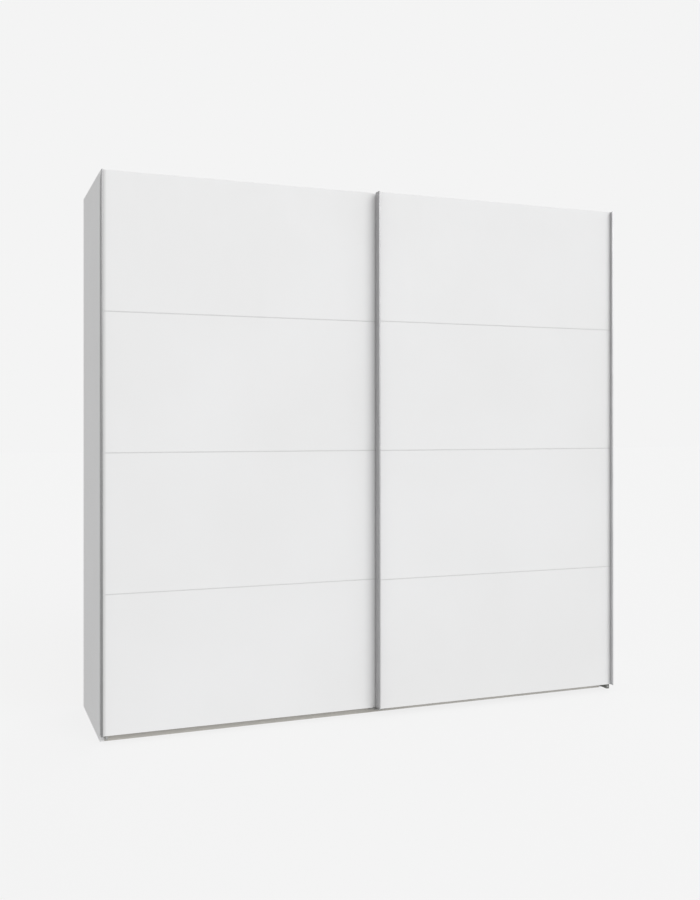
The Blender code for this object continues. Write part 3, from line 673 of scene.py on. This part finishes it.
def backNails():  # the sheets are nailed to every board that ends behind them
    shape = bmesh.new()
    for side in compartments:
        boards = [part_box(f"{level}_{side}") for level in ("top_panel", "hat_shelf", "bottom_panel")]
        for part in ("outer", "inner"):
            low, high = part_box(f"back_sheet_{side}_{part}")
            for z in ((bottom.z + top.z) / 2 for bottom, top in boards):
                for x in evenly(low.x, high.x, nail["spacing"], nail["margin"]):
                    head(shape, nailForm, nail["radius"], nail["height"], facing((x, high.y, z), (0, 1, 0)))
    makePiece("back_nails", shape, "zincPlate", "case")


trackScrews()
stopScrews()
guideScrews()
bearerPlates()
camCaps()
pinHoles()
backSeals()
backNails()
print("case hardware made")


# Door hardware

# left_door and right_door give the heads' heights: flat ones where the doors pass each other
doorScrew = {"left_door": 1.5 * mm, "right_door": 0.45 * mm, "radius": 3.6 * mm, "steel": 2.5 * mm,
             "out": 44 * mm, "rows": (9 * mm, 34 * mm)}
adjuster = {"left_door": 2.4 * mm, "right_door": 0.6 * mm, "radius": 9 * mm, "rise": 21 * mm}


def bracketHardware(door):
    screws, adjusters = bmesh.new(), bmesh.new()
    for side in ("left", "right"):
        low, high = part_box(f"{door}_{side}_bracket")
        legBack = low.y + doorScrew["steel"]
        middle = (low.x + high.x) / 2
        for out in (-1, 1):
            for row in doorScrew["rows"]:
                point = (middle + out * doorScrew["out"], legBack, low.z + row)
                home = facing(point, (0, 1, 0), row * 90 + out)
                head(screws, screwForm, doorScrew["radius"], doorScrew[door], home)
        home = facing((middle, legBack, low.z + adjuster["rise"]), (0, 1, 0), 0.6)
        head(adjusters, capForm, adjuster["radius"], adjuster[door], home)
    makePiece(f"{door}_bracket_screws", screws, "zincPlate", door)
    makePiece(f"{door}_height_adjusters", adjusters, "zincPlate", door)


axle = {"headRadius": 6.2 * mm, "headHeight": 1.5 * mm, "clipBore": 3.9 * mm, "clipRadius": 6.4 * mm,
        "clipGap": 0.25 * mm, "clipThickness": 0.8 * mm, "clipSlope": (0.4 * mm, 0.2 * mm), "steps": 20}


def axleHardware(door):  # riveted heads in front of each leg and a clip behind each roller
    heads, clips = bmesh.new(), bmesh.new()
    bore, rim, (slopeIn, slopeDown) = axle["clipBore"], axle["clipRadius"], axle["clipSlope"]
    start, end = axle["clipGap"], axle["clipGap"] + axle["clipThickness"]
    section = [(bore, start), (rim, start), (rim, end - slopeDown), (rim - slopeIn, end), (bore, end)]
    for side in ("left", "right"):
        for part in ("a", "b"):
            low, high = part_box(f"{door}_{side}_roller_{part}")
            middle = (low + high) / 2
            legFront = low.y - fit - doorScrew["steel"]
            home = facing((middle.x, legFront, middle.z), (0, -1, 0))
            head(heads, rivetForm, axle["headRadius"], axle["headHeight"], home)
            hoop(clips, section, axle["steps"], facing((middle.x, high.y, middle.z), (0, 1, 0)))
    makePiece(f"{door}_axle_rivets", heads, "zincPlate", door)
    makePiece(f"{door}_axle_clips", clips, "zincPlate", door)


web = {"proud": 0.5 * mm, "hubIn": 7.0 * mm, "hubOut": 8.2 * mm, "rimIn": 12.2 * mm, "rimOut": 13.2 * mm,
       "slope": 0.2 * mm, "slopeFrom": 0.7, "steps": 32, "ribs": 6, "ribHalf": 0.7 * mm,
       "ribLap": 0.3 * mm, "ribShoulder": 0.65, "ribTop": 0.9, "ribTaper": 0.6}


def rollerWeb(roller):  # moulded hub ring, rim ring and ribs on the outer face
    low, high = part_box(roller)
    home = facing(((low.x + high.x) / 2, high.y, (low.z + high.z) / 2), (0, 1, 0))
    shape = bmesh.new()
    top, base, slope = web["proud"], -overlap, web["slope"]
    side = web["slopeFrom"] * top
    for inner, outer in ((web["hubIn"], web["hubOut"]), (web["rimIn"], web["rimOut"])):
        section = [(inner, base), (outer, base), (outer, side), (outer - slope, top), (inner + slope, top),
                   (inner, side)]
        hoop(shape, section, web["steps"], home)
    half, start, end = web["ribHalf"], web["hubOut"] - web["ribLap"], web["rimIn"] + web["ribLap"]
    outline = ((start, -half), (end, -half), (end, half), (start, half))
    levels = ((1, base), (1, web["ribShoulder"] * top), (web["ribTaper"], web["ribTop"] * top))
    rib = [[Vector((x, y * narrow, z)) for x, y in outline] for narrow, z in levels]
    for i in range(web["ribs"]):
        loft(shape, rib, home @ Matrix.Rotation(math.tau * i / web["ribs"], 4, "Z"))
    makePiece(f"{roller}_web", shape, "rollerAcetal", roller)


jointPlug = {"wall": 2.2 * mm, "depth": 9 * mm, "play": 0.15 * mm, "chamfer": 0.3 * mm}


def jointPlugs(door):  # short ends that carry each joint strip's front on to the profiles
    shape = bmesh.new()
    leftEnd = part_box(f"{door}_profile_left")[0].x + jointPlug["wall"]
    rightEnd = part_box(f"{door}_profile_right")[1].x - jointPlug["wall"]
    for i in (1, 2, 3):
        low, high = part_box(f"{door}_joint_strip_{i}")
        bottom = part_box(f"{door}_panel_{i}")[1].z + jointPlug["play"]
        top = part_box(f"{door}_panel_{i + 1}")[0].z - jointPlug["play"]
        front, back, cut = low.y, low.y + jointPlug["depth"], jointPlug["chamfer"]
        section = [(front + cut, bottom), (front, bottom + cut), (front, top - cut), (front + cut, top),
                   (back, top), (back, bottom)]
        for ends in ((leftEnd, low.x + overlap), (high.x - overlap, rightEnd)):
            loft(shape, [[Vector((x, y, z)) for y, z in section] for x in ends], Matrix())
    makePiece(f"{door}_joint_plugs", shape, "jointPlastic", door)


stripScrew = {"radius": 2.6 * mm, "height": 0.4 * mm, "spacing": 330 * mm, "margin": 45 * mm,
              "offset": 7.5 * mm, "profileSpacing": 415 * mm, "profileMargin": 70 * mm,
              "profileIn": 8.5 * mm}


def stripScrews(door):  # flat heads through the joint strips and the profiles' rear flanges
    shape = bmesh.new()
    for strip in (f"{door}_joint_strip_{i}" for i in (1, 2, 3)):
        low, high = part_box(strip)
        for x in evenly(low.x, high.x, stripScrew["spacing"], stripScrew["margin"]):
            for lift in (-1, 1):
                point = (x, high.y, (low.z + high.z) / 2 + lift * stripScrew["offset"])
                home = facing(point, (0, 1, 0), x * 40 + lift)
                head(shape, smallScrewForm, stripScrew["radius"], stripScrew["height"], home)
    for side, inward in (("left", 1), ("right", -1)):
        low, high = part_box(f"{door}_profile_{side}")
        edge = low.x if inward > 0 else high.x
        for z in evenly(low.z, high.z, stripScrew["profileSpacing"], stripScrew["profileMargin"]):
            home = facing((edge + inward * stripScrew["profileIn"], high.y, z), (0, 1, 0), z * 30)
            head(shape, smallScrewForm, stripScrew["radius"], stripScrew["height"], home)
    makePiece(f"{door}_panel_screws", shape, "zincPlate", door)


for door in doors:
    bracketHardware(door)
    axleHardware(door)
    jointPlugs(door)
    stripScrews(door)
    for side in ("left", "right"):
        for part in ("a", "b"):
            rollerWeb(f"{door}_{side}_roller_{part}")
print("door hardware made")


# Studio

studio = {"backdrop": 0.905, "ambient": 0.60, "floorSize": 80, "floorGlow": 0.924, "floorMatt": 0.13,
          "floorTone": 0.9, "floorDrop": 0.5 * mm}


def studioWorld():
    world = bpy.data.worlds.new("studio")
    world.use_nodes = True
    tree = world.node_tree
    tree.nodes.clear()
    seen = tool(tree, "LightPath").outputs["Is Camera Ray"]
    plain = tool(tree, "Background", {"Color": (1, 1, 1, 1), "Strength": studio["backdrop"]}).outputs[0]
    soft = tool(tree, "Background", {"Color": (1, 1, 1, 1), "Strength": studio["ambient"]}).outputs[0]
    both = tool(tree, "MixShader", {0: seen, 1: soft, 2: plain}).outputs[0]
    tool(tree, "OutputWorld", {"Surface": both})
    bpy.context.scene.world = world


def studioFloor():
    half = studio["floorSize"] / 2
    mesh = bpy.data.meshes.new("floor")
    points = [(-half, -half, 0), (half, -half, 0), (half, half, 0), (-half, half, 0)]
    mesh.from_pydata(points, [], [(0, 1, 2, 3)])
    floor = bpy.data.objects.new("floor", mesh)
    floor.location.z = -studio["floorDrop"]
    bpy.context.scene.collection.objects.link(floor)
    made = bpy.data.materials.new("paleFloor")
    made.use_nodes = True
    tree = made.node_tree
    tree.nodes.clear()
    glow = tool(tree, "Emission", {"Color": (1, 1, 1, 1), "Strength": studio["floorGlow"]}).outputs[0]
    tone = studio["floorTone"]
    matt = tool(tree, "BsdfDiffuse", {"Color": (tone, tone, tone, 1)}).outputs[0]
    both = tool(tree, "MixShader", {0: studio["floorMatt"], 1: glow, 2: matt}).outputs[0]
    tool(tree, "OutputMaterial", {"Surface": both})
    mesh.materials.append(made)
    floor.visible_diffuse = False
    floor.visible_glossy = False


keyLight = {"towards": (0.26, -0.83, 0.47), "strength": 1.36, "angle": 52}
rearLight = {"towards": (0.55, 0.70, 0.55), "strength": 0.55, "angle": 50}


def sun(name, light):
    lamp = bpy.data.lights.new(name, "SUN")
    lamp.energy = light["strength"]
    lamp.angle = math.radians(light["angle"])
    holder = bpy.data.objects.new(name, lamp)
    holder.rotation_euler = Vector(light["towards"]).to_track_quat("Z", "Y").to_euler()
    bpy.context.scene.collection.objects.link(holder)


camera = {"from": (-1.587, -4.044, 1.163), "turn": -21.116, "lens": 40.96, "sensor": 36, "shiftY": -0.0281}


def makeCamera():
    lens = bpy.data.cameras.new("camera")
    lens.lens, lens.sensor_width, lens.shift_y = camera["lens"], camera["sensor"], camera["shiftY"]
    holder = bpy.data.objects.new("camera", lens)
    holder.location = camera["from"]
    holder.rotation_euler = (math.radians(90), 0, math.radians(camera["turn"]))
    bpy.context.scene.collection.objects.link(holder)
    bpy.context.scene.camera = holder


studioWorld()
studioFloor()
sun("key", keyLight)
sun("rear", rearLight)
makeCamera()
bpy.context.scene.view_settings.view_transform = "Standard"
print("studio and camera set")
